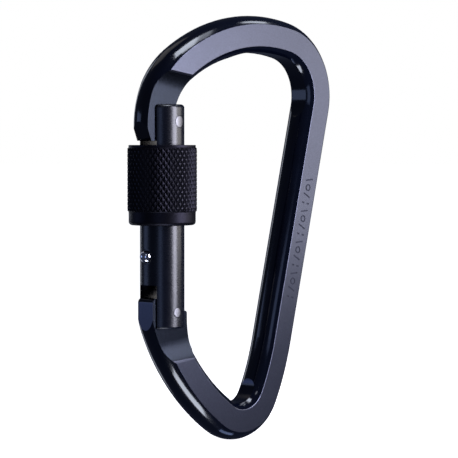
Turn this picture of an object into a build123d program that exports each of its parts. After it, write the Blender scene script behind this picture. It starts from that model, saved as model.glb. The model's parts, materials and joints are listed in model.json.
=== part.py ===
"""Locking carabiner: a bent bar with a sprung gate, a screw sleeve on the gate, and the pins that hold them.

Millimetres. X runs from the gate to the spine, Z up along the gate, and -Y is the front face.
The origin is the crown of the top basket: the highest point of the inside, on the bar's middle plane.
"""
import math
import os

from build123d import *

# Bar: a round section with a flat front and back, bent along arcs and one straight spine.
BAR_RADIUS = 5.1
FLAT_HALF = 4.2
FLAT_EDGE_RADIUS = 0.3
CROWN_RADIUS = 49.0
CROWN_TURN_TO_SPINE = 12.7
CROWN_TURN_TO_NOSE = 33.8
TOP_BEND_RADIUS = 14.6
TOP_BEND_TURN = 90.8
SPINE_LENGTH = 62.9
LOWER_SPINE_RADIUS = 66.0
LOWER_SPINE_TURN = 13.2
BOTTOM_BEND_RADIUS = 10.1
BOTTOM_BEND_TURN = 96.3
LOWER_ARM_RADIUS = 55.1
LOWER_ARM_TURN = 33.3
TANG_BEND_RADIUS = 15.0
SHOULDER_RADIUS = 18.3
SHOULDER_TURN = 58.5
NOSE_STEM = 5.0

# Gate axis and heights. Everything on the gate is placed from the hinge.
GATE_X = -32.4
HINGE_Z = -66.05
GATE_RADIUS = 5.6
GATE_BOTTOM = HINGE_Z - 3.95
GATE_TOP = HINGE_Z + 52.25
GATE_TOP_ROUND = 0.9
GATE_BOTTOM_ROUND = 0.45
SLOT_HALF = 3.0
LOWER_SLOT_ROOF = HINGE_Z + 6.9
UPPER_SLOT_FLOOR = HINGE_Z + 41.3

# Pins and ball.
HINGE_PIN_RADIUS = 1.3
LATCH_PIN_RADIUS = 1.6
LATCH_X = GATE_X + 0.9
LATCH_Z = HINGE_Z + 47.9
RUNNING_CLEARANCE = 0.05
PRESS_CLEARANCE = 0.01
BALL_RADIUS = 1.5875
BALL_Z = HINGE_Z + 14.05
BALL_SEAT_RADIUS = 1.95
BALL_SEAT_DEPTH = 0.25

# Nose: milled thin, tapered outside, with a hook for the latch pin.
NOSE_HALF = 2.6
NOSE_TIP_Z = HINGE_Z + 43.1
NOSE_SCOOP_EDGE = (GATE_X + 3.4, -5.75)
NOSE_SCOOP_TILT = -8.5
NOSE_SCOOP_RADIUS = 13.5
NOSE_TAPER_TOP = (GATE_X - 7.45, HINGE_Z + 46.4)
NOSE_TAPER_LEAN = 22.0
HOOK_CLEARANCE = 0.2

# Tang: milled thin, with an outer facet, a flat top for the plunger and a shoulder.
TANG_HALF = 2.7
TANG_LEFT = GATE_X - 5.85
TANG_RIGHT = GATE_X + 6.05
TANG_TOP = HINGE_Z + 3.6
TANG_SHOULDER_X = GATE_X + 5.1
TANG_SHOULDER_Z = HINGE_Z + 0.15
TANG_FLAT_END = GATE_X + 4.1
TANG_INNER_RADIUS = 24.0
TANG_INNER_TOP = HINGE_Z - 1.7
TANG_INNER_DROP = 9.3
TANG_ROOT = (GATE_X + 4.0, HINGE_Z - 10.5)
TANG_HEEL = (GATE_X - 2.5, HINGE_Z - 3.6)
TANG_FACET_END_Z = HINGE_Z + 1.4
TANG_FACET_LENGTH = 5.0
TANG_LEFT_ROUND = 1.2
TANG_FLAT_ROUND = 0.5
TANG_SHOULDER_ROUND = 0.3
TANG_RIGHT_ROUND = 0.7
TANG_BLANK_HALF = 3.1
TANG_SCOOP_EDGE = (GATE_X + 3.9, HINGE_Z - 12.6)
TANG_SCOOP_TILT = 7.0
TANG_SCOOP_RADIUS = 11.4

# Baskets: the inside of both bends is cut straight across. Each run-in and run-out is an arc, as
# (radius, turn), that carries the cut off the bar.
BASKET_CUT = 0.65
CROWN_CUT_TURN = 18.7
TOP_CUT_TURN = 61.0
TOP_RUN_IN = (20.0, 34.0)
TOP_RUN_OUT = (10.0, 60.0)
BOTTOM_CUT_TURN = 92.0
BOTTOM_RUN_IN = (6.0, 50.0)
BOTTOM_RUN_OUT = (8.0, 60.0)

# Sleeve.
SLEEVE_RADIUS = 8.78
COLLAR_RADIUS = 8.45
SLEEVE_BOTTOM = HINGE_Z + 21.9
SLEEVE_LENGTH = 20.15
COLLAR_LENGTH = 2.8
SLEEVE_BORE = GATE_RADIUS + 0.08
NOSE_BORE = 7.6
SLEEVE_TOP = SLEEVE_BOTTOM + SLEEVE_LENGTH
COLLAR_TOP = SLEEVE_BOTTOM + COLLAR_LENGTH
THREAD_TOP = SLEEVE_BOTTOM + 10.6
NOSE_BORE_CONE = 1.9
COLLAR_ROUND = 0.9
COLLAR_STEP_ROUND = 0.2
SLEEVE_TOP_ROUND = 0.5
BORE_ROUND = 0.3
NOSE_BORE_ROUND = 0.25

# Screw thread between the gate and the sleeve. The sleeve's crests clear the gate's.
THREAD_PITCH = 1.25
THREAD_DEPTH = 0.45
THREAD_MOUTH = 1.0
THREAD_ROOT = 0.24
THREAD_OVERRUN = 0.1
GATE_THREAD_START = SLEEVE_BOTTOM + 0.9
GATE_THREAD_TURNS = 11
SLEEVE_THREAD_START = SLEEVE_BOTTOM + 1.6
SLEEVE_THREAD_TURNS = 6

# Spring and plunger, in a bore offset towards the spine so that the spring shuts the gate.
BORE_X = GATE_X + 1.2
BORE_RADIUS = 2.2
BORE_TOP = HINGE_Z + 27.0
DRILL_POINT_RADIUS = 0.3
DRILL_POINT_LENGTH = 1.1
PLUNGER_RADIUS = BORE_RADIUS - 0.08
PLUNGER_TIP_RADIUS = 1.4
PLUNGER_TIP_Z = TANG_TOP + 0.03
PLUNGER_HEAD_LENGTH = 5.4
PLUNGER_STEM_RADIUS = 1.1
PLUNGER_LENGTH = 11.5
PLUNGER_CONE = 0.5
STEM_CHAMFER = 0.3
SPRING_WIRE_RADIUS = 0.3
SPRING_MEAN_RADIUS = 1.75
SPRING_TURNS = 9

# Engraved row of plain marks on the spine's front flat.
MARK_COUNT = 16
MARK_PITCH = 2.1
MARK_DEPTH = 0.12
MARK_HEIGHT = 2.6
MARK_WIDTH = 0.4
RING_RADIUS = 0.95
MARK_LEAN = 18.0
MARK_START = 19.4

WIDE = 40.0


def heading(degrees):
    """Unit direction in the bar's plane: 0 runs along +X and 90 along +Z."""
    return (math.cos(math.radians(degrees)), math.sin(math.radians(degrees)))


def front_plane(x, z, tilt=0.0):
    """Plane in the bar's middle, centred on (x, z) and turned by tilt degrees, whose normal is -Y."""
    along, up = heading(tilt)
    return Plane(origin=(x, 0, z), x_dir=(along, 0, up), z_dir=(0, -1, 0))


# The bar's centre line runs from the crown towards the spine, and from the crown back to the nose.
crown = (0, BAR_RADIUS - BASKET_CUT)
with BuildLine(Plane.XZ) as forward_line:
    crown_to_spine = JernArc(crown, (1, 0), CROWN_RADIUS, -CROWN_TURN_TO_SPINE)
    top_bend = JernArc(crown_to_spine @ 1, crown_to_spine % 1, TOP_BEND_RADIUS, -TOP_BEND_TURN)
    spine = Line(top_bend @ 1, top_bend @ 1 + (top_bend % 1) * SPINE_LENGTH)
    lower_spine = JernArc(spine @ 1, spine % 1, LOWER_SPINE_RADIUS, -LOWER_SPINE_TURN)
    bottom_bend = JernArc(lower_spine @ 1, lower_spine % 1, BOTTOM_BEND_RADIUS, -BOTTOM_BEND_TURN)
    lower_arm = JernArc(bottom_bend @ 1, bottom_bend % 1, LOWER_ARM_RADIUS, -LOWER_ARM_TURN)
    arm_heading = math.degrees(math.atan2((lower_arm % 1).Z, (lower_arm % 1).X))
    tang_bend = JernArc(lower_arm @ 1, lower_arm % 1, TANG_BEND_RADIUS, -(arm_heading - 90))
with BuildLine(Plane.XZ) as back_line:
    crown_to_nose = JernArc(crown, (-1, 0), CROWN_RADIUS, CROWN_TURN_TO_NOSE)
    shoulder = JernArc(crown_to_nose @ 1, crown_to_nose % 1, SHOULDER_RADIUS, SHOULDER_TURN)
    nose_stem = Line(shoulder @ 1, shoulder @ 1 + (shoulder % 1) * NOSE_STEM)

os.makedirs("parts", exist_ok=True)


def save(piece, name):
    """Labels a finished piece and writes its STEP file."""
    piece.part.label = name
    export_step(piece.part, f"parts/{name}.step")


def scoop_cut(edge, tilt, direction, half, radius):
    """Milled recess on the front and back: it starts at a sharp edge on the flat and runs down a hollow
    arc to a web of the given half thickness. direction is +1 when the web lies above the edge."""
    turn = math.degrees(math.acos(1 - (FLAT_HALF - half) / radius))
    run = radius * math.sin(math.radians(turn))
    along, up = heading(tilt)
    with BuildPart() as cut:
        for side in (-1, 1):
            across = Plane(origin=(edge[0], 0, edge[1]), x_dir=(-up * direction, 0, along * direction),
                           z_dir=(-along * direction * side, 0, -up * direction * side))
            with BuildSketch(across):
                with BuildLine():
                    hollow = JernArc((run, half), (-1, 0), radius, -turn)
                    Polyline(hollow @ 1, (0, WIDE), (WIDE, WIDE), (WIDE, half), hollow @ 0)
                make_face()
            extrude(amount=WIDE / 3, both=True)
    return cut.part


def basket_cut(bend, bend_turn, lead, leave):
    """Straight-across cut of a bend's inside, BASKET_CUT deep. lead lists (radius, turn) arcs before the
    bend, from the bend outwards, and leave is the arc that brings the cut off the bar after it."""
    centre = bend.arc_center
    start = bend @ 0
    inner_radius = bend.radius - BAR_RADIUS + BASKET_CUT
    junction = centre + (start - centre).normalized() * inner_radius
    with BuildPart() as cut:
        with BuildSketch(Plane.XZ):
            with BuildLine():
                arc = JernArc((junction.X, junction.Z), ((bend % 0).X, (bend % 0).Z), inner_radius, -bend_turn)
                far = JernArc(arc @ 1, arc % 1, leave[0], -leave[1])
                point, way = arc @ 0, arc % 0 * -1
                for radius, turn in lead:
                    near = JernArc(point, way, radius, turn)
                    point, way = near @ 1, near % 1
                Line(far @ 1, point)
            make_face()
        extrude(amount=WIDE / 4, both=True)
    return cut.part


def marks():
    """Row of plain bars, rings and paired dashes along the spine's front flat."""
    along = spine % 0
    with BuildPart() as row:
        for index in range(MARK_COUNT):
            centre = spine @ 0 + along * (MARK_START + index * MARK_PITCH)
            flat = Plane(origin=(centre.X, -FLAT_HALF, centre.Z), x_dir=along, z_dir=(0, -1, 0))
            with BuildSketch(flat):
                if index % 4 == 1:
                    Circle(RING_RADIUS)
                    Circle(RING_RADIUS - MARK_WIDTH, mode=Mode.SUBTRACT)
                elif index % 4 == 3:
                    with Locations((0, MARK_HEIGHT / 3), (0, -MARK_HEIGHT / 3)):
                        Rectangle(MARK_WIDTH, MARK_HEIGHT / 3)
                else:
                    Rectangle(MARK_WIDTH, MARK_HEIGHT, rotation=MARK_LEAN * (1 - index % 4))
            extrude(amount=MARK_DEPTH, both=True)
    return row.part


def cross_pin(x, z, radius):
    """Rivet across the gate, with its ends flush with the gate's round surface."""
    with BuildPart() as pin:
        with BuildSketch(front_plane(x, z)):
            Circle(radius)
        extrude(amount=WIDE / 4, both=True)
        with Locations((GATE_X, 0, z)):
            Cylinder(GATE_RADIUS, 4 * radius, mode=Mode.INTERSECT)
    return pin


# ---- frame ----
with BuildSketch(Plane(origin=nose_stem @ 1, x_dir=(0, 1, 0), z_dir=-(nose_stem % 1))) as bar_section:
    Circle(BAR_RADIUS)
    Rectangle(2 * FLAT_HALF, 4 * BAR_RADIUS, mode=Mode.INTERSECT)
    fillet(bar_section.vertices(), FLAT_EDGE_RADIUS)
centre_line = Wire(forward_line.edges() + back_line.edges())
with BuildPart() as frame:
    sweep(sections=bar_section.sketch, path=centre_line)
    # baskets
    crown_inside = CROWN_RADIUS - BAR_RADIUS + BASKET_CUT
    add(basket_cut(top_bend, TOP_CUT_TURN, ((crown_inside, CROWN_CUT_TURN), TOP_RUN_IN), TOP_RUN_OUT),
        mode=Mode.SUBTRACT)
    add(basket_cut(bottom_bend, BOTTOM_CUT_TURN, (BOTTOM_RUN_IN,), BOTTOM_RUN_OUT), mode=Mode.SUBTRACT)
    # tang: a blank wider than the bar, an outer facet beside the hinge, then the milled sides
    with BuildSketch(Plane.XZ) as tang_outline:
        with BuildLine():
            drop_turn = math.degrees(math.asin(TANG_INNER_DROP / TANG_INNER_RADIUS))
            inner_edge = JernArc((TANG_RIGHT, TANG_INNER_TOP), (0, -1), TANG_INNER_RADIUS, drop_turn)
            Polyline(inner_edge @ 1, TANG_ROOT, TANG_HEEL, (TANG_LEFT, TANG_FACET_END_Z),
                     (TANG_LEFT, TANG_TOP), (TANG_FLAT_END, TANG_TOP),
                     (TANG_SHOULDER_X, TANG_SHOULDER_Z), (TANG_RIGHT, TANG_SHOULDER_Z), inner_edge @ 0)
        make_face()
        for corner, radius in (((TANG_LEFT, TANG_TOP), TANG_LEFT_ROUND),
                               ((TANG_FLAT_END, TANG_TOP), TANG_FLAT_ROUND),
                               ((TANG_SHOULDER_X, TANG_SHOULDER_Z), TANG_SHOULDER_ROUND),
                               ((TANG_RIGHT, TANG_SHOULDER_Z), TANG_RIGHT_ROUND)):
            fillet(tang_outline.vertices().sort_by_distance((*corner, 0))[0], radius)
    extrude(amount=TANG_BLANK_HALF, both=True)
    with Locations((TANG_LEFT - WIDE / 2, 0, HINGE_Z + TANG_FACET_LENGTH)):
        Box(WIDE, WIDE, WIDE / 2, mode=Mode.SUBTRACT)
    add(scoop_cut(TANG_SCOOP_EDGE, TANG_SCOOP_TILT, 1, TANG_HALF, TANG_SCOOP_RADIUS), mode=Mode.SUBTRACT)
    with BuildSketch(front_plane(GATE_X, HINGE_Z)):
        Circle(HINGE_PIN_RADIUS + RUNNING_CLEARANCE)
    extrude(amount=WIDE, both=True, mode=Mode.SUBTRACT)
    # nose: milled sides, square tip, outer taper, then the hook that the latch pin sits in
    add(scoop_cut(NOSE_SCOOP_EDGE, NOSE_SCOOP_TILT, -1, NOSE_HALF, NOSE_SCOOP_RADIUS), mode=Mode.SUBTRACT)
    with Locations((GATE_X, 0, NOSE_TIP_Z)):
        Box(WIDE / 2, WIDE, WIDE / 4, align=(Align.CENTER, Align.CENTER, Align.MAX), mode=Mode.SUBTRACT)
    with BuildSketch(front_plane(*NOSE_TAPER_TOP, NOSE_TAPER_LEAN - 90)):
        Rectangle(WIDE, WIDE / 4, align=(Align.CENTER, Align.MAX))
    extrude(amount=WIDE, both=True, mode=Mode.SUBTRACT)
    hook_radius = LATCH_PIN_RADIUS + HOOK_CLEARANCE
    with BuildSketch(front_plane(LATCH_X, LATCH_Z)):
        Circle(hook_radius)
        Rectangle(WIDE / 4, 2 * hook_radius, align=(Align.MIN, Align.CENTER))
    extrude(amount=WIDE, both=True, mode=Mode.SUBTRACT)
    add(marks(), mode=Mode.SUBTRACT)
save(frame, "frame")

# ---- gate ----
with BuildPart() as gate:
    with Locations((GATE_X, 0, GATE_BOTTOM)):
        Cylinder(GATE_RADIUS, GATE_TOP - GATE_BOTTOM, align=(Align.CENTER, Align.CENTER, Align.MIN))
    fillet(gate.edges().sort_by(Axis.Z)[-1], GATE_TOP_ROUND)
    fillet(gate.edges().sort_by(Axis.Z)[0], GATE_BOTTOM_ROUND)
    # male thread, hidden under the sleeve
    with BuildLine(Plane((GATE_X, 0, GATE_THREAD_START))):
        gate_helix = Helix(THREAD_PITCH, THREAD_PITCH * GATE_THREAD_TURNS, GATE_RADIUS)
    with BuildSketch(Plane(origin=gate_helix @ 0, x_dir=(1, 0, 0), z_dir=(0, 1, 0))) as groove:
        Polygon((THREAD_OVERRUN, THREAD_MOUTH / 2), (THREAD_OVERRUN, -THREAD_MOUTH / 2),
                (-THREAD_DEPTH, -THREAD_ROOT / 2), (-THREAD_DEPTH, THREAD_ROOT / 2), align=None)
    sweep(sections=groove.sketch, path=gate_helix, is_frenet=True, mode=Mode.SUBTRACT)
    # slots for the nose and the tang, open through the gate from side to side
    for floor, up in ((UPPER_SLOT_FLOOR, Align.MIN), (LOWER_SLOT_ROOF, Align.MAX)):
        with Locations((GATE_X, 0, floor)):
            Box(4 * GATE_RADIUS, 2 * SLOT_HALF, WIDE / 2, align=(Align.CENTER, Align.CENTER, up),
                mode=Mode.SUBTRACT)
    # spring bore with a drilled end
    with Locations((BORE_X, 0, LOWER_SLOT_ROOF)):
        Cylinder(BORE_RADIUS, 2 * (BORE_TOP - LOWER_SLOT_ROOF), mode=Mode.SUBTRACT)
    with Locations((BORE_X, 0, BORE_TOP)):
        Cone(BORE_RADIUS, DRILL_POINT_RADIUS, DRILL_POINT_LENGTH,
             align=(Align.CENTER, Align.CENTER, Align.MIN), mode=Mode.SUBTRACT)
    # pin holes
    for x, z, radius in ((GATE_X, HINGE_Z, HINGE_PIN_RADIUS), (LATCH_X, LATCH_Z, LATCH_PIN_RADIUS)):
        with BuildSketch(front_plane(x, z)):
            Circle(radius + PRESS_CLEARANCE)
        extrude(amount=WIDE, both=True, mode=Mode.SUBTRACT)
    # ball pocket on the outer side, with a shallow round seat
    with Locations((GATE_X - GATE_RADIUS, 0, BALL_Z)):
        Sphere(BALL_RADIUS + PRESS_CLEARANCE, mode=Mode.SUBTRACT)
        with Locations(Rotation(0, 90, 0)):
            Cylinder(BALL_SEAT_RADIUS, 2 * BALL_SEAT_DEPTH, mode=Mode.SUBTRACT)
save(gate, "gate")

# ---- pins and ball ----
save(cross_pin(GATE_X, HINGE_Z, HINGE_PIN_RADIUS), "hinge_pin")
save(cross_pin(LATCH_X, LATCH_Z, LATCH_PIN_RADIUS), "latch_pin")
with BuildPart() as stop_ball:
    with Locations((GATE_X - GATE_RADIUS, 0, BALL_Z)):
        Sphere(BALL_RADIUS)
save(stop_ball, "stop_ball")

# ---- sleeve ----
with BuildPart() as sleeve:
    with BuildSketch(Plane(origin=(GATE_X, 0, 0), x_dir=(1, 0, 0), z_dir=(0, -1, 0))) as sleeve_half:
        Polygon((SLEEVE_BORE, SLEEVE_BOTTOM), (COLLAR_RADIUS, SLEEVE_BOTTOM), (COLLAR_RADIUS, COLLAR_TOP),
                (SLEEVE_RADIUS, COLLAR_TOP), (SLEEVE_RADIUS, SLEEVE_TOP), (NOSE_BORE, SLEEVE_TOP),
                (NOSE_BORE, THREAD_TOP + NOSE_BORE_CONE), (SLEEVE_BORE, THREAD_TOP), align=None)
        for corner, radius in (((COLLAR_RADIUS, SLEEVE_BOTTOM), COLLAR_ROUND),
                               ((SLEEVE_BORE, SLEEVE_BOTTOM), BORE_ROUND),
                               ((SLEEVE_RADIUS, SLEEVE_TOP), SLEEVE_TOP_ROUND),
                               ((NOSE_BORE, SLEEVE_TOP), NOSE_BORE_ROUND),
                               ((SLEEVE_RADIUS, COLLAR_TOP), COLLAR_STEP_ROUND)):
            fillet(sleeve_half.vertices().sort_by_distance((*corner, 0))[0], radius)
    revolve(axis=Axis((GATE_X, 0, 0), (0, 0, 1)))
    with BuildLine(Plane((GATE_X, 0, SLEEVE_THREAD_START))):
        sleeve_helix = Helix(THREAD_PITCH, THREAD_PITCH * SLEEVE_THREAD_TURNS, SLEEVE_BORE)
    with BuildSketch(Plane(origin=sleeve_helix @ 0, x_dir=(1, 0, 0), z_dir=(0, 1, 0))) as groove:
        Polygon((-THREAD_OVERRUN, THREAD_MOUTH / 2), (-THREAD_OVERRUN, -THREAD_MOUTH / 2),
                (THREAD_DEPTH, -THREAD_ROOT / 2), (THREAD_DEPTH, THREAD_ROOT / 2), align=None)
    sweep(sections=groove.sketch, path=sleeve_helix, is_frenet=True, mode=Mode.SUBTRACT)
save(sleeve, "sleeve")

# ---- plunger and spring ----
with BuildPart() as plunger:
    tip = PLUNGER_TIP_Z
    stem_top = tip + PLUNGER_LENGTH
    head_top = tip + PLUNGER_HEAD_LENGTH
    with BuildSketch(Plane(origin=(BORE_X, 0, 0), x_dir=(1, 0, 0), z_dir=(0, -1, 0))):
        with BuildLine():
            dome = JernArc((0, tip), (1, 0), PLUNGER_TIP_RADIUS, 90)
            Polyline(dome @ 1, (PLUNGER_RADIUS, tip + PLUNGER_TIP_RADIUS + PLUNGER_CONE),
                     (PLUNGER_RADIUS, head_top), (PLUNGER_STEM_RADIUS, head_top),
                     (PLUNGER_STEM_RADIUS, stem_top - STEM_CHAMFER),
                     (PLUNGER_STEM_RADIUS - STEM_CHAMFER, stem_top), (0, stem_top), dome @ 0)
        make_face()
    revolve(axis=Axis((BORE_X, 0, 0), (0, 0, 1)))
save(plunger, "plunger")

with BuildPart() as gate_spring:
    spring_start = head_top + SPRING_WIRE_RADIUS
    spring_length = BORE_TOP - SPRING_WIRE_RADIUS - spring_start
    with BuildLine(Plane((BORE_X, 0, spring_start))):
        coil = Helix(spring_length / SPRING_TURNS, spring_length, SPRING_MEAN_RADIUS)
    with BuildSketch(Plane(origin=coil @ 0, z_dir=coil % 0)):
        Circle(SPRING_WIRE_RADIUS)
    sweep(path=coil, is_frenet=True)
save(gate_spring, "gate_spring")
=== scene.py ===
"""Locking carabiner: finishes, knurled sleeve and studio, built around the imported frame.

Metres, in the frame's own axes: X runs from the gate to the spine, Z up along the gate, and -Y is the front.
"""
import json
import math

import bmesh
import bpy
from mathutils import Matrix, Vector


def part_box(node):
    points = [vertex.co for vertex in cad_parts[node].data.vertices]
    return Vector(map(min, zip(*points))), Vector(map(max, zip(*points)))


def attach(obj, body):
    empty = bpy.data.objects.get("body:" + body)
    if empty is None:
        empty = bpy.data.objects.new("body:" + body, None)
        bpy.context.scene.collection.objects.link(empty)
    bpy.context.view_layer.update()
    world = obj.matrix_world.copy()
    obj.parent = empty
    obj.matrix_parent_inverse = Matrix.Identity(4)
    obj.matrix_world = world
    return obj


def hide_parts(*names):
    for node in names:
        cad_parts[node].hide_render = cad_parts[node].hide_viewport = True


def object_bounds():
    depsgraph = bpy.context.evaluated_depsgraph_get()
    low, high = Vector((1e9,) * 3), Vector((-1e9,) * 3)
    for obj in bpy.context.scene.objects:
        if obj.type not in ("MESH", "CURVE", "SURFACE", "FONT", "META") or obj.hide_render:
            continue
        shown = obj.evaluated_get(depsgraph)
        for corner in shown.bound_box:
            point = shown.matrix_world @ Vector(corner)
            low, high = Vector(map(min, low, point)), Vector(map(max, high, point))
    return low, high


bl_info = {
    "name": "Locking Carabiner",
    "version": (1, 0, 0),
    "blender": (4, 5, 0),
    "location": "View3D > Sidebar > Carabiner",
    "description": "Finishes, knurled sleeve and studio for a screw-gate carabiner",
    "category": "Object",
}

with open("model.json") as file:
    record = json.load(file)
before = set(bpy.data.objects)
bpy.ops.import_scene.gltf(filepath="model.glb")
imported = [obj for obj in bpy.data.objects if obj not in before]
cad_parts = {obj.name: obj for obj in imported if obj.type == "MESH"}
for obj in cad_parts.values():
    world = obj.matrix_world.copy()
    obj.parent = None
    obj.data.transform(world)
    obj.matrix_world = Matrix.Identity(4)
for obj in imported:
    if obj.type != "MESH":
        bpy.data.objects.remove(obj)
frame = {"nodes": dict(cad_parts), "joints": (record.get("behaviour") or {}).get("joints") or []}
CAD_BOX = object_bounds()
MM = 0.001

GATE_LOW, GATE_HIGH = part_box("gate")
SLEEVE_LOW, SLEEVE_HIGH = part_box("sleeve")
FLAT_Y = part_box("frame")[1].y
GATE_AXIS = Vector(((GATE_LOW.x + GATE_HIGH.x) / 2, 0.0, 0.0))
HINGE_Z = next(joint for joint in frame["joints"] if joint["name"] == "gate_hinge")["pos_m"][2]


# ---- settings ----
class CarabinerFrameSettings(bpy.types.PropertyGroup):
    gloss_colour: bpy.props.FloatVectorProperty(
        name="Gloss colour", description="Dye of the polished round sides", subtype="COLOR", size=3,
        min=0.0, max=1.0, default=(0.001, 0.0018, 0.006))
    satin_colour: bpy.props.FloatVectorProperty(
        name="Satin colour", description="Dye of the tumbled flats", subtype="COLOR", size=3,
        min=0.0, max=1.0, default=(0.076, 0.082, 0.112))
    milled_colour: bpy.props.FloatVectorProperty(
        name="Milled colour", description="Dye of the milled sides of the nose and tang", subtype="COLOR",
        size=3, min=0.0, max=1.0, default=(0.02, 0.0245, 0.036))
    mark_colour: bpy.props.FloatVectorProperty(
        name="Mark colour", description="Floor of the engraved marks", subtype="COLOR", size=3,
        min=0.0, max=1.0, default=(0.042, 0.045, 0.062))
    gloss_roughness: bpy.props.FloatProperty(
        name="Gloss roughness", description="Roughness of the polished round sides", min=0.0, max=1.0,
        subtype="FACTOR", default=0.12)
    satin_roughness: bpy.props.FloatProperty(
        name="Satin roughness", description="Roughness of the tumbled flats", min=0.0, max=1.0,
        subtype="FACTOR", default=0.3)
    milled_roughness: bpy.props.FloatProperty(
        name="Milled roughness", description="Roughness of the milled sides", min=0.0, max=1.0,
        subtype="FACTOR", default=0.24)
    mark_roughness: bpy.props.FloatProperty(
        name="Mark roughness", description="Roughness inside the engraved marks", min=0.0, max=1.0,
        subtype="FACTOR", default=0.6)
    grain_size: bpy.props.FloatProperty(
        name="Grain size", description="Size of the tumbled grain on the flats", unit="LENGTH",
        min=0.00002, default=0.00034)


class CarabinerGateSettings(bpy.types.PropertyGroup):
    colour: bpy.props.FloatVectorProperty(
        name="Gate colour", description="Dye of the gate tube", subtype="COLOR", size=3,
        min=0.0, max=1.0, default=(0.001, 0.0018, 0.006))
    roughness: bpy.props.FloatProperty(
        name="Gate roughness", description="Roughness of the turned gate tube", min=0.0, max=1.0,
        subtype="FACTOR", default=0.26)
    turning_pitch: bpy.props.FloatProperty(
        name="Turning pitch", description="Spacing of the turning lines round the tube", unit="LENGTH",
        min=0.00002, default=0.00016)


class CarabinerSleeveSettings(bpy.types.PropertyGroup):
    knurl_starts: bpy.props.IntProperty(
        name="Knurl starts", description="Diamonds round the sleeve", min=12, max=90, default=42)
    knurl_rows: bpy.props.IntProperty(
        name="Knurl rows", description="Diamonds along the sleeve", min=2, max=20, default=8)
    knurl_depth: bpy.props.FloatProperty(
        name="Knurl depth", description="Height of the diamonds", unit="LENGTH", min=0.0, default=0.00026)
    knurl_flank: bpy.props.FloatProperty(
        name="Knurl flank", description="Width of a diamond's sloping side", unit="LENGTH",
        min=0.0, default=0.0004)
    knurl_edge: bpy.props.FloatProperty(
        name="Knurl edge", description="Chamfer at the ends of the knurled band", unit="LENGTH",
        min=0.0, default=0.0005)
    collar_length: bpy.props.FloatProperty(
        name="Collar length", description="Smooth collar below the knurl", unit="LENGTH",
        min=0.0, default=0.0028)
    colour: bpy.props.FloatVectorProperty(
        name="Sleeve colour", description="Dye of the sleeve", subtype="COLOR", size=3,
        min=0.0, max=1.0, default=(0.014, 0.0135, 0.02))
    # Lighter tops of the diamonds: rubbed wear, and also a painted highlight where the peaks catch the
    # light.
    peak_wear_and_highlight_colour: bpy.props.FloatVectorProperty(
        name="Peak colour", description="Rubbed tops of the diamonds", subtype="COLOR", size=3,
        min=0.0, max=1.0, default=(0.034, 0.033, 0.043))
    roughness: bpy.props.FloatProperty(
        name="Sleeve roughness", description="Roughness of the sleeve", min=0.0, max=1.0,
        subtype="FACTOR", default=0.46)
    peak_roughness: bpy.props.FloatProperty(
        name="Peak roughness", description="Roughness of the diamonds' tops", min=0.0, max=1.0,
        subtype="FACTOR", default=0.42)


class CarabinerSteelSettings(bpy.types.PropertyGroup):
    rivet_colour: bpy.props.FloatVectorProperty(
        name="Rivet colour", description="Ground ends of the two rivets", subtype="COLOR", size=3,
        min=0.0, max=1.0, default=(0.2, 0.2, 0.215))
    # Width of the ring round each rivet's end: a groove bump, plus painted shade for the gap between rivet
    # and hole.
    rivet_groove_and_shade_width: bpy.props.FloatProperty(
        name="Rivet groove", description="Dark ring round a rivet's end", unit="LENGTH",
        min=0.0, default=0.0003)
    # Painted shade: the dark colour of that ring stands in for the shadow in the gap round the rivet.
    groove_painted_shade_colour: bpy.props.FloatVectorProperty(
        name="Groove colour", description="Shadowed ring round a rivet's end", subtype="COLOR", size=3,
        min=0.0, max=1.0, default=(0.004, 0.004, 0.006))
    ball_colour: bpy.props.FloatVectorProperty(
        name="Ball colour", description="Polished stop ball", subtype="COLOR", size=3,
        min=0.0, max=1.0, default=(0.86, 0.87, 0.9))
    spring_colour: bpy.props.FloatVectorProperty(
        name="Spring colour", description="Drawn spring wire", subtype="COLOR", size=3,
        min=0.0, max=1.0, default=(0.5, 0.5, 0.52))


class CarabinerStageSettings(bpy.types.PropertyGroup):
    floor_colour: bpy.props.FloatVectorProperty(
        name="Floor colour", description="Pale sweep under and behind the carabiner", subtype="COLOR",
        size=3, min=0.0, max=1.0, default=(1.0, 1.0, 1.0))
    camera_azimuth: bpy.props.FloatProperty(
        name="Camera azimuth", description="Camera's turn about Z from the front", subtype="ANGLE",
        default=math.radians(-45.0))
    camera_elevation: bpy.props.FloatProperty(
        name="Camera elevation", description="Camera's height above level", subtype="ANGLE",
        default=math.radians(2.0))
    camera_distance: bpy.props.FloatProperty(
        name="Camera distance", description="From the camera to its target", unit="LENGTH", default=0.6468)
    camera_lens: bpy.props.FloatProperty(
        name="Camera lens", description="Focal length in millimetres", default=196.5)
    camera_target: bpy.props.FloatVectorProperty(
        name="Camera target", description="Point at the middle of the picture", subtype="TRANSLATION",
        size=3, default=(-0.0086, 0.0, -0.04575))
    room_colour: bpy.props.FloatVectorProperty(
        name="Room colour", description="Dim light that fills the shadows", subtype="COLOR", size=3,
        min=0.0, max=1.0, default=(0.5, 0.6, 1.0))
    room_power: bpy.props.FloatProperty(
        name="Room brightness", description="Radiance of the dim room", min=0.0, default=0.06)
    key_power: bpy.props.FloatProperty(
        name="Key brightness", description="Radiance of the key softbox", min=0.0, default=2.75)
    strip_power: bpy.props.FloatProperty(
        name="Strip brightness", description="Radiance of the front strip", min=0.0, default=8.5)


# ---- helpers ----
def settings(name):
    """One of the carabiner's setting groups, from the scene."""
    return getattr(bpy.context.scene, name)


def rgba(colour):
    """A colour setting with an alpha of one."""
    return (*colour, 1.0)


def add_piece(bm, name, normals=None):
    """Writes a bmesh to a new object at the origin, with the corner normals given."""
    mesh = bpy.data.meshes.new(name)
    bm.to_mesh(mesh)
    bm.free()
    if "custom_normal" in mesh.attributes:
        mesh.attributes.remove(mesh.attributes["custom_normal"])
    if normals:
        mesh.normals_split_custom_set(normals)
    piece = bpy.data.objects.new(name, mesh)
    bpy.context.scene.collection.objects.link(piece)
    return piece


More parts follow.
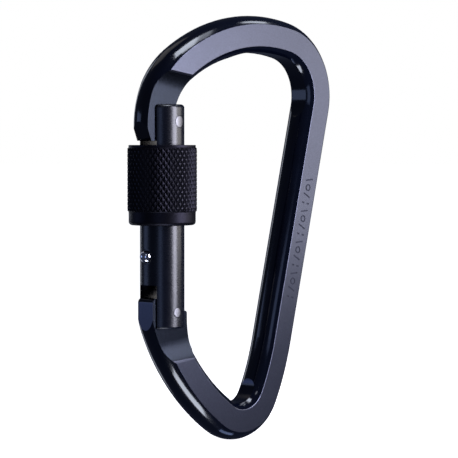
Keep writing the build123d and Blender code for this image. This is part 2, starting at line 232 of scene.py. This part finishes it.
def merged_copy(node):
    """A bmesh of a CAD node's mesh with its doubled points merged, and its corner normals in order."""
    mesh = frame["nodes"][node].data
    bm = bmesh.new()
    bm.from_mesh(mesh)
    kept = bm.loops.layers.float_vector.new("kept_normal")
    corners = [loop for face in bm.faces for loop in face.loops]
    for loop, corner in zip(corners, mesh.corner_normals):
        loop[kept] = corner.vector
    bmesh.ops.remove_doubles(bm, verts=bm.verts, dist=1e-6)
    normals = [loop[kept].copy() for face in bm.faces for loop in face.loops]
    bm.loops.layers.float_vector.remove(kept)
    return bm, normals


def shade_by_angle(bm, degrees):
    """Smooth shading that breaks at edges sharper than the given angle."""
    for face in bm.faces:
        face.smooth = True
    for edge in bm.edges:
        edge.smooth = edge.calc_face_angle(0.0) < math.radians(degrees)


def weigh_normals(piece):
    """Large flat faces keep their own normal beside small rounded ones."""
    modifier = piece.modifiers.new("Weighted normals", "WEIGHTED_NORMAL")
    modifier.mode = "FACE_AREA"
    modifier.weight = 100
    modifier.keep_sharp = True


def set_radius(verts, radius, shrink_only=False):
    """Moves points straight in or out to a radius from the gate's axis, or only in."""
    for vert in verts:
        arm = Vector((vert.co.x - GATE_AXIS.x, vert.co.y))
        if arm.length > radius or not shrink_only:
            arm *= radius / arm.length
            vert.co.x, vert.co.y = GATE_AXIS.x + arm.x, arm.y


class Finish:
    """A Principled material whose colour, roughness and bump are driven by object-space patterns."""

    def __init__(self, name, metallic=0.0, specular=0.5):
        self.material = bpy.data.materials.new(name)
        self.material.use_nodes = True
        self.tree = self.material.node_tree
        self.tree.nodes.clear()
        self.shader = self.add("ShaderNodeBsdfPrincipled")
        self.shader.inputs["Metallic"].default_value = metallic
        self.shader.inputs["Specular IOR Level"].default_value = specular
        output = self.add("ShaderNodeOutputMaterial")
        self.join(self.shader.outputs["BSDF"], output.inputs["Surface"])
        self.coordinates = self.add("ShaderNodeTexCoord").outputs["Object"]

    def add(self, kind, **values):
        """A new node of a kind, with its own properties set."""
        node = self.tree.nodes.new(kind)
        for key, value in values.items():
            setattr(node, key, value)
        return node

    def join(self, output, socket):
        """Links an output to a socket."""
        self.tree.links.new(output, socket)

    def put(self, value, socket):
        """Feeds a socket from an output, or sets it to a number or a colour."""
        if isinstance(value, bpy.types.NodeSocket):
            self.join(value, socket)
        else:
            socket.default_value = rgba(value) if socket.type == "RGBA" else value

    def placed(self, scale=(1.0, 1.0, 1.0), location=(0.0, 0.0, 0.0)):
        """Object coordinates moved by location, then scaled."""
        mapping = self.add("ShaderNodeMapping")
        mapping.inputs["Location"].default_value = [-a * b for a, b in zip(location, scale)]
        mapping.inputs["Scale"].default_value = scale
        self.join(self.coordinates, mapping.inputs["Vector"])
        return mapping.outputs["Vector"]

    def noise(self, size, detail=3.0, stretch=(1.0, 1.0, 1.0), roughness=0.55):
        """Noise whose features are about size across, longer by stretch along each axis."""
        node = self.add("ShaderNodeTexNoise")
        node.inputs["Scale"].default_value = 1.0
        node.inputs["Detail"].default_value = detail
        node.inputs["Roughness"].default_value = roughness
        self.join(self.placed([1.0 / (size * s) for s in stretch]), node.inputs["Vector"])
        return node.outputs["Fac"]

    def ramp(self, factor, low, high):
        """Factor spread so that low becomes 0 and high becomes 1."""
        node = self.add("ShaderNodeMapRange", clamp=True)
        node.inputs["From Min"].default_value = low
        node.inputs["From Max"].default_value = high
        self.join(factor, node.inputs["Value"])
        return node.outputs["Result"]

    def between(self, factor, first, second):
        """A number that runs from first to second with the factor."""
        node = self.add("ShaderNodeMapRange", clamp=True)
        node.inputs["To Min"].default_value = first
        node.inputs["To Max"].default_value = second
        self.join(factor, node.inputs["Value"])
        return node.outputs["Result"]

    def mix(self, factor, first, second):
        """A colour mixed from two, each a colour or an output."""
        node = self.add("ShaderNodeMix", data_type="RGBA")
        self.join(factor, node.inputs["Factor"])
        colour_inputs, colour_output = (6, 7), 2
        for index, value in zip(colour_inputs, (first, second)):
            self.put(value, node.inputs[index])
        return node.outputs[colour_output]

    def math(self, operation, first, second=0.0):
        """The result of a sum on two values, each a number or an output."""
        node = self.add("ShaderNodeMath", operation=operation)
        for socket, value in zip(node.inputs, (first, second)):
            self.put(value, socket)
        return node.outputs["Value"]

    def colour(self, value):
        """Sets the base colour, from a colour or an output."""
        self.put(value, self.shader.inputs["Base Color"])

    def rough(self, value):
        """Sets the roughness, from a number or an output."""
        self.put(value, self.shader.inputs["Roughness"])

    def bump(self, height, distance, strength=1.0):
        """Bump from a height pattern; distance is the pattern's full height in metres."""
        node = self.add("ShaderNodeBump")
        node.inputs["Distance"].default_value = distance
        node.inputs["Strength"].default_value = strength
        self.join(height, node.inputs["Height"])
        self.join(node.outputs["Normal"], self.shader.inputs["Normal"])


def shade(colour, share):
    """A colour made lighter or darker by a share."""
    return tuple(min(1.0, channel * share) for channel in colour)


def gloss_anodising(name, colour, roughness):
    """Polished dyed aluminium: mirror-like, with faint waves and smears."""
    finish = Finish(name, metallic=0.0, specular=0.62)
    smear = finish.noise(4 * MM, detail=4.0)
    finish.colour(finish.mix(smear, shade(colour, 0.75), shade(colour, 1.5)))
    finish.rough(finish.between(smear, roughness * 0.8, roughness * 1.25))
    finish.bump(finish.noise(2.5 * MM, detail=1.0), 0.006 * MM, 0.5)
    return finish.material


def satin_anodising(name, colour, roughness, grain):
    """Tumbled dyed aluminium: an even fine grain with slow colour drift and rare pale nicks."""
    variation = 0.3
    finish = Finish(name, metallic=0.93)
    grit = finish.noise(grain, detail=4.0, roughness=0.7)
    drift = finish.noise(9 * MM, detail=3.0)
    nick = finish.ramp(finish.noise(0.45 * MM, detail=2.0), 0.73, 0.78)
    body = finish.mix(grit, shade(colour, 1 - variation), shade(colour, 1 + variation))
    body = finish.mix(finish.math("MULTIPLY", drift, 0.5), body, shade(colour, 0.72))
    finish.colour(finish.mix(finish.math("MULTIPLY", nick, 0.35), body, shade(colour, 2.2)))
    finish.rough(finish.between(grit, roughness * 0.88, roughness * 1.12))
    finish.bump(grit, 0.012 * MM, 0.5)
    return finish.material


def turned_anodising(name, colour, roughness, pitch):
    """Dyed aluminium as it leaves the lathe: fine rings round the tube, broken up along their length."""
    finish = Finish(name, metallic=0.0, specular=0.62)
    rings = finish.noise(pitch, detail=3.0, stretch=(9.0, 9.0, 1.0), roughness=0.65)
    smear = finish.noise(3 * MM, detail=4.0)
    finish.colour(finish.mix(smear, shade(colour, 0.75), shade(colour, 1.5)))
    base = finish.between(smear, roughness * 0.85, roughness * 1.2)
    finish.rough(finish.math("ADD", base, finish.between(rings, -0.03, 0.06)))
    finish.bump(rings, 0.006 * MM, 0.8)
    return finish.material


def steel(name, colour, roughness, stretch=(1.0, 1.0, 1.0), grain=0.09 * MM, bump=0.002 * MM):
    """Bare steel with a fine grain, drawn out by stretch."""
    finish = Finish(name, metallic=1.0)
    grit = finish.noise(grain, detail=3.0, stretch=stretch, roughness=0.6)
    stain = finish.noise(1.4 * MM, detail=3.0)
    finish.colour(finish.mix(stain, shade(colour, 0.86), shade(colour, 1.06)))
    finish.rough(finish.between(grit, roughness * 0.75, roughness * 1.35))
    finish.bump(grit, bump, 0.7)
    return finish.material


def assign(node, material):
    """Gives a CAD node its finish."""
    thing = frame["nodes"][node]
    thing.data.materials.clear()
    thing.data.materials.append(material)


# ---- pieces ----
class CARABINER_OT_frame_bar(bpy.types.Operator):
    """Dress the bent bar: polished round sides, tumbled flats and dark engraved marks"""

    bl_idname = "carabiner.frame_bar"
    bl_label = "Frame bar"

    def execute(self, context):
        look = settings("carabiner_frame")
        bm, normals = merged_copy("frame")
        gloss, satin, marks, milled = range(4)
        side_facing, facet_facing = 0.85, 0.98
        mark_shallow, mark_deep = 0.03 * MM, 0.2 * MM
        milled_depth = 0.25 * MM
        tang_top = HINGE_Z + 6 * MM
        for face in bm.faces:
            face.smooth = True
            middle = face.calc_center_median()
            depth = FLAT_Y - abs(middle.y)
            on_side = abs(face.normal.y) > side_facing
            on_spine_front = middle.y < 0 < middle.x
            on_tang_facet = face.normal.x < -facet_facing and middle.z < tang_top
            if on_side and on_spine_front and mark_shallow < depth < mark_deep:
                face.material_index = marks
            elif on_side and depth > milled_depth:
                face.material_index = milled
            else:
                face.material_index = satin if on_side or on_tang_facet else gloss
        bar = add_piece(bm, "bar", normals)
        bar.data.materials.append(gloss_anodising("bar_gloss", look.gloss_colour, look.gloss_roughness))
        bar.data.materials.append(
            satin_anodising("bar_satin", look.satin_colour, look.satin_roughness, look.grain_size))
        bar.data.materials.append(
            satin_anodising("bar_marks", look.mark_colour, look.mark_roughness, look.grain_size))
        bar.data.materials.append(
            satin_anodising("bar_milled", look.milled_colour, look.milled_roughness, look.grain_size))
        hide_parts("frame")
        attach(bar, "frame")
        return {"FINISHED"}


class CARABINER_OT_gate_tube(bpy.types.Operator):
    """Dress the gate tube as turned and dyed aluminium"""

    bl_idname = "carabiner.gate_tube"
    bl_label = "Gate tube"

    def execute(self, context):
        look = settings("carabiner_gate")
        assign("gate", turned_anodising("gate_turned", look.colour, look.roughness, look.turning_pitch))
        return {"FINISHED"}


class CARABINER_OT_knurled_sleeve(bpy.types.Operator):
    """Build the locking sleeve: the threaded body with a band of knurled diamonds"""

    bl_idname = "carabiner.knurled_sleeve"
    bl_label = "Knurled sleeve"

    def execute(self, context):
        look = settings("carabiner_sleeve")
        axis = GATE_AXIS
        outer = (SLEEVE_HIGH.x - SLEEVE_LOW.x) / 2
        root = outer - look.knurl_depth
        seat = root - 0.05 * MM
        inner = root - 0.35 * MM
        low = SLEEVE_LOW.z + look.collar_length + 0.1 * MM
        high = SLEEVE_HIGH.z - 0.15 * MM

        # body: the threaded sleeve turned down under the band
        body, _ = merged_copy("sleeve")
        seat_low = low - 0.3 * MM
        set_radius([vert for vert in body.verts if vert.co.z > seat_low], seat, shrink_only=True)

        # band: a tube of cells, turned into diamonds
        band = bmesh.new()
        bmesh.ops.create_circle(band, segments=look.knurl_starts, radius=root,
                                matrix=Matrix.Translation((axis.x, 0.0, low + look.knurl_edge)))
        row_height = (high - low - 2 * look.knurl_edge) / look.knurl_rows
        rim = list(band.edges)
        for _ in range(look.knurl_rows):
            grown = bmesh.ops.extrude_edge_only(band, edges=rim)["geom"]
            points = [item for item in grown if isinstance(item, bmesh.types.BMVert)]
            rim = [item for item in grown if isinstance(item, bmesh.types.BMEdge)]
            bmesh.ops.translate(band, verts=points, vec=(0.0, 0.0, row_height))
        cell_edges = [edge for edge in band.edges if len(edge.link_faces) == 2]
        bmesh.ops.poke(band, faces=list(band.faces))
        set_radius(band.verts, root)
        bmesh.ops.dissolve_edges(band, edges=cell_edges, use_verts=False)
        bmesh.ops.recalc_face_normals(band, faces=band.faces)
        sample = max(band.faces, key=lambda face: face.calc_area())
        if sample.normal.xy.dot(sample.calc_center_median().xy - axis.xy) < 0:
            bmesh.ops.reverse_faces(band, faces=band.faces)
        diamonds = list(band.faces)
        bmesh.ops.inset_individual(band, faces=diamonds, thickness=look.knurl_flank,
                                   depth=look.knurl_depth, use_even_offset=True)
        peaks = set(diamonds)
        set_radius({vert for face in peaks for vert in face.verts}, outer, shrink_only=True)
        for face in band.faces:
            face.material_index = 1 if face in peaks else 0

        # ends: chamfered, then closed behind the band
        rims = [edge for edge in band.edges if edge.is_boundary]
        for sign, rim in ((-1, [e for e in rims if e.verts[0].co.z < (low + high) / 2]),
                          (1, [e for e in rims if e.verts[0].co.z > (low + high) / 2])):
            for radius, step in ((root - 0.35 * look.knurl_edge, look.knurl_edge * 0.8), (inner, 0.0)):
                grown = bmesh.ops.extrude_edge_only(band, edges=rim)["geom"]
                points = [item for item in grown if isinstance(item, bmesh.types.BMVert)]
                rim = [item for item in grown if isinstance(item, bmesh.types.BMEdge)]
                set_radius(points, radius)
                bmesh.ops.translate(band, verts=points, vec=(0.0, 0.0, sign * step))
        bmesh.ops.bridge_loops(band, edges=[edge for edge in band.edges if edge.is_boundary])
        bmesh.ops.recalc_face_normals(band, faces=band.faces)
        shade_by_angle(band, 20.0)
        shade_by_angle(body, 32.0)
        band_mesh = bpy.data.meshes.new("knurl_band")
        band.to_mesh(band_mesh)
        band.free()
        for face in body.faces:
            face.material_index = 0
        body.from_mesh(band_mesh)
        bpy.data.meshes.remove(band_mesh)
        sleeve = add_piece(body, "knurled_sleeve")
        sleeve.data.materials.append(
            satin_anodising("sleeve_satin", look.colour, look.roughness, 0.16 * MM))
        # The diamonds' tops get a lighter colour: partly rubbed wear, partly a painted highlight.
        sleeve.data.materials.append(
            satin_anodising("knurl_peaks_worn_and_highlit", look.peak_wear_and_highlight_colour, look.peak_roughness, 0.1 * MM))
        weigh_normals(sleeve)
        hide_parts("sleeve")
        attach(sleeve, "sleeve")
        return {"FINISHED"}


class CARABINER_OT_steel_parts(bpy.types.Operator):
    """Dress the two rivets, the stop ball, the spring and the plunger in bare steel"""

    bl_idname = "carabiner.steel_parts"
    bl_label = "Steel parts"

    def execute(self, context):
        look = settings("carabiner_steel")
        for node in ("hinge_pin", "latch_pin"):
            low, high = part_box(node)
            middle = (low + high) / 2
            radius = (high.z - low.z) / 2
            finish = Finish(f"{node}_end", metallic=1.0)
            place = finish.placed(location=(middle.x, 0.0, middle.z))
            flat = finish.add("ShaderNodeVectorMath", operation="MULTIPLY")
            flat.inputs[1].default_value = (1.0, 0.0, 1.0)
            finish.join(place, flat.inputs[0])
            reach = finish.add("ShaderNodeVectorMath", operation="LENGTH")
            finish.join(flat.outputs["Vector"], reach.inputs[0])
            # Ring just inside the rivet's edge: it drives a groove bump and the painted shade colour of the
            # gap round the rivet.
            ring = finish.ramp(reach.outputs["Value"], radius - look.rivet_groove_and_shade_width, radius - 0.04 * MM)
            grit = finish.noise(0.08 * MM, detail=3.0, roughness=0.65)
            body = finish.mix(grit, shade(look.rivet_colour, 0.85), shade(look.rivet_colour, 1.1))
            # Painted shade: the ring is coloured dark where the gap round the rivet falls into shadow.
            finish.colour(finish.mix(ring, body, look.groove_painted_shade_colour))
            finish.rough(finish.between(grit, 0.3, 0.5))
            finish.bump(finish.math("SUBTRACT", finish.math("MULTIPLY", grit, 0.15), ring), 0.05 * MM, 0.8)
            assign(node, finish.material)
        assign("stop_ball", steel("ball_polished", look.ball_colour, 0.08, grain=0.2 * MM, bump=0.0006 * MM))
        assign("gate_spring", steel("spring_drawn", look.spring_colour, 0.35, (3.0, 3.0, 1.0)))
        assign("plunger", steel("plunger_turned", look.spring_colour, 0.3, (6.0, 6.0, 1.0)))
        return {"FINISHED"}


# ---- stage ----
def direction(turn, rise):
    """Unit vector at a turn about Z from the front and a rise above level, both in radians."""
    return Vector((math.sin(turn) * math.cos(rise), -math.cos(turn) * math.cos(rise), math.sin(rise)))


def around(azimuth, elevation, distance):
    """Point at a distance from the camera's target, in a direction given in degrees from the front."""
    way = direction(math.radians(azimuth), math.radians(elevation))
    return Vector(settings("carabiner_stage").camera_target) + way * distance


def add_softbox(name, place, size, radiance, colour=(1.0, 1.0, 1.0), aim=None):
    """Area light at a place, facing its aim: the camera's target, or straight down or up when aim is a
    number, which is the sign of Z that it shines along."""
    light = bpy.data.lights.new(name, "AREA")
    light.shape = "RECTANGLE"
    light.size, light.size_y = size
    light.energy = radiance * math.pi * size[0] * size[1]
    light.color = colour
    lamp = bpy.data.objects.new(name, light)
    lamp.location = place
    if aim is None:
        aim = Vector(settings("carabiner_stage").camera_target)
        lamp.rotation_euler = (Vector(place) - aim).to_track_quat("Z", "Y").to_euler()
    elif aim > 0:
        lamp.rotation_euler = (math.pi, 0.0, 0.0)
    lamp.visible_camera = False
    bpy.context.scene.collection.objects.link(lamp)


class CARABINER_OT_studio(bpy.types.Operator):
    """Set the pale floor, the white surround, the softboxes and the camera"""

    bl_idname = "carabiner.studio"
    bl_label = "Studio"

    def execute(self, context):
        look = settings("carabiner_stage")
        scene = context.scene

        bm = bmesh.new()
        bmesh.ops.create_grid(bm, x_segments=1, y_segments=1, size=6.0,
                              matrix=Matrix.Translation((0.0, 0.0, CAD_BOX[0].z - 0.2 * MM)))
        floor = add_piece(bm, "floor")
        paper = bpy.data.materials.new("floor_paper")
        paper.use_nodes = True
        tree = paper.node_tree
        shader = tree.nodes["Principled BSDF"]
        shader.inputs["Base Color"].default_value = rgba(look.floor_colour)
        shader.inputs["Roughness"].default_value = 0.9
        shader.inputs["Emission Color"].default_value = rgba(look.floor_colour)
        shader.inputs["Emission Strength"].default_value = 1.0
        floor.data.materials.append(paper)
        floor.visible_glossy = False
        floor.visible_diffuse = False
        floor.visible_shadow = False

        world = bpy.data.worlds.new("surround")
        world.use_nodes = True
        nodes, links = world.node_tree.nodes, world.node_tree.links
        room = nodes["Background"]
        room.inputs["Color"].default_value = rgba(look.room_colour)
        room.inputs["Strength"].default_value = look.room_power
        sweep = nodes.new("ShaderNodeBackground")
        sweep.inputs["Color"].default_value = rgba(look.floor_colour)
        mix = nodes.new("ShaderNodeMixShader")
        path = nodes.new("ShaderNodeLightPath")
        links.new(path.outputs["Is Camera Ray"], mix.inputs[0])
        links.new(room.outputs[0], mix.inputs[1])
        links.new(sweep.outputs[0], mix.inputs[2])
        links.new(mix.outputs[0], nodes["World Output"].inputs["Surface"])
        scene.world = world
        scene.view_settings.view_transform = "Standard"

        white, pale = (1.0, 0.96, 0.94), (0.83, 0.83, 1.0)
        cool, blue = (0.8, 0.86, 1.0), (0.42, 0.55, 1.0)
        strip, key = look.strip_power, look.key_power
        lift = Vector((0.0, 0.0, 1.0))
        add_softbox("front_strip", around(20, 0, 0.28) + lift * 0.065, (0.12, 0.24), strip * 1.55, pale)
        add_softbox("key", around(45, 0, 0.18) + lift * 0.032, (0.14, 0.097), key, white)
        add_softbox("floor_strip", (-0.083, -0.07, -0.3), (0.115, 0.092), strip * 1.25, cool, aim=1)
        add_softbox("floor_right", (0.06, -0.01, -0.3), (0.09, 0.05), 2.3, blue, aim=1)
        add_softbox("roof_left", (0.005, -0.08, 0.3), (0.105, 0.12), strip * 1.15, cool, aim=-1)
        add_softbox("roof_middle", (0.082, -0.075, 0.3), (0.05, 0.1), 3.0, cool, aim=-1)
        add_softbox("roof_right", (0.265, -0.025, 0.3), (0.1, 0.045), strip * 0.7, cool, aim=-1)
        add_softbox("lens_strip", around(-54, 0, 0.75), (0.21, 0.5), 1.0, blue)
        add_softbox("lens_top", around(-42, 39, 0.6), (0.07, 0.12), 2.6, cool)
        add_softbox("left_strip", around(-135, 3, 0.6), (0.3, 0.22), 1.0, blue)
        add_softbox("back_key", around(180, 55, 0.45), (0.2, 0.2), 0.4, white)
        add_softbox("back_strip", around(172, 0, 0.5), (0.1, 0.7), 1.2, cool)

        camera = bpy.data.objects.new("camera", bpy.data.cameras.new("camera"))
        way = direction(look.camera_azimuth, look.camera_elevation)
        camera.location = Vector(look.camera_target) + way * look.camera_distance
        camera.rotation_euler = way.to_track_quat("Z", "Y").to_euler()
        camera.data.lens = look.camera_lens
        camera.data.sensor_width = 36.0
        camera.data.clip_start = 0.01
        scene.collection.objects.link(camera)
        scene.camera = camera
        return {"FINISHED"}


class CARABINER_PT_workshop(bpy.types.Panel):
    """Lists the pieces of the carabiner"""

    bl_idname = "CARABINER_PT_workshop"
    bl_label = "Locking carabiner"
    bl_space_type = "VIEW_3D"
    bl_region_type = "UI"
    bl_category = "Carabiner"

    def draw(self, context):
        for step in STEPS:
            self.layout.operator(step.bl_idname)


STEPS = (
    CARABINER_OT_frame_bar,
    CARABINER_OT_gate_tube,
    CARABINER_OT_knurled_sleeve,
    CARABINER_OT_steel_parts,
    CARABINER_OT_studio,
)
GROUPS = {
    "carabiner_frame": CarabinerFrameSettings,
    "carabiner_gate": CarabinerGateSettings,
    "carabiner_sleeve": CarabinerSleeveSettings,
    "carabiner_steel": CarabinerSteelSettings,
    "carabiner_stage": CarabinerStageSettings,
}


def register():
    for name, group in GROUPS.items():
        bpy.utils.register_class(group)
        setattr(bpy.types.Scene, name, bpy.props.PointerProperty(type=group))
    for cls in (*STEPS, CARABINER_PT_workshop):
        bpy.utils.register_class(cls)


def unregister():
    for cls in reversed((*STEPS, CARABINER_PT_workshop)):
        bpy.utils.unregister_class(cls)
    for name, group in GROUPS.items():
        delattr(bpy.types.Scene, name)
        bpy.utils.unregister_class(group)


def main():
    register()
    bpy.ops.carabiner.frame_bar()
    bpy.ops.carabiner.gate_tube()
    bpy.ops.carabiner.knurled_sleeve()
    bpy.ops.carabiner.steel_parts()
    bpy.ops.carabiner.studio()


if __name__ == "__main__":
    main()
